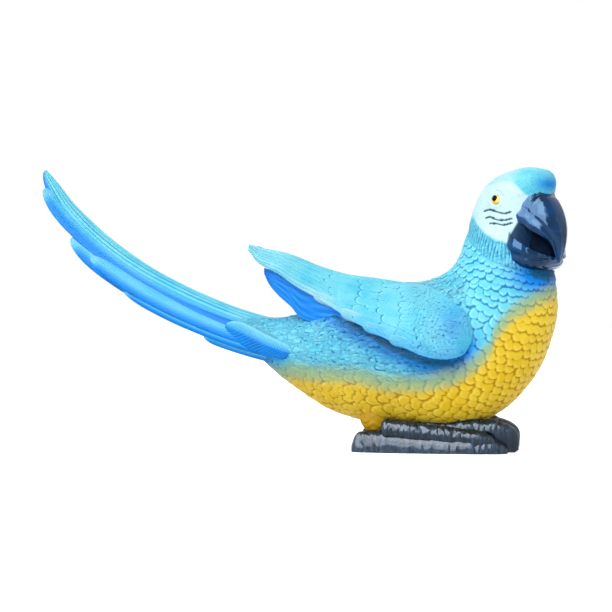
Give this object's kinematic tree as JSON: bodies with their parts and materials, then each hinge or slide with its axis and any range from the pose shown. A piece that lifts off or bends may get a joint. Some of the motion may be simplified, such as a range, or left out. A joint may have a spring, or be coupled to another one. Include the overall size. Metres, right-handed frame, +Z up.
{
  "type": "parrot figurine",
  "caption": "Cast and painted figurine of a long-tailed macaw crouching on its feet, head turned to its right, for a shelf or garden.",
  "frame": {"origin": "middle of the bounding box in plan, on the level of the soles", "axes": "+X from the tail towards the breast, +Y towards the bird's left wing, +Z up"},
  "size_m": [0.3112, 0.087, 0.1657],
  "materials": {
    "painted_resin": "cast resin, hand painted in satin blue, yellow and white, with gloss black beak and feet"
  },
  "bodies": {
    "root": {"parrot_figurine": "painted_resin"}
  },
  "joints": []
}
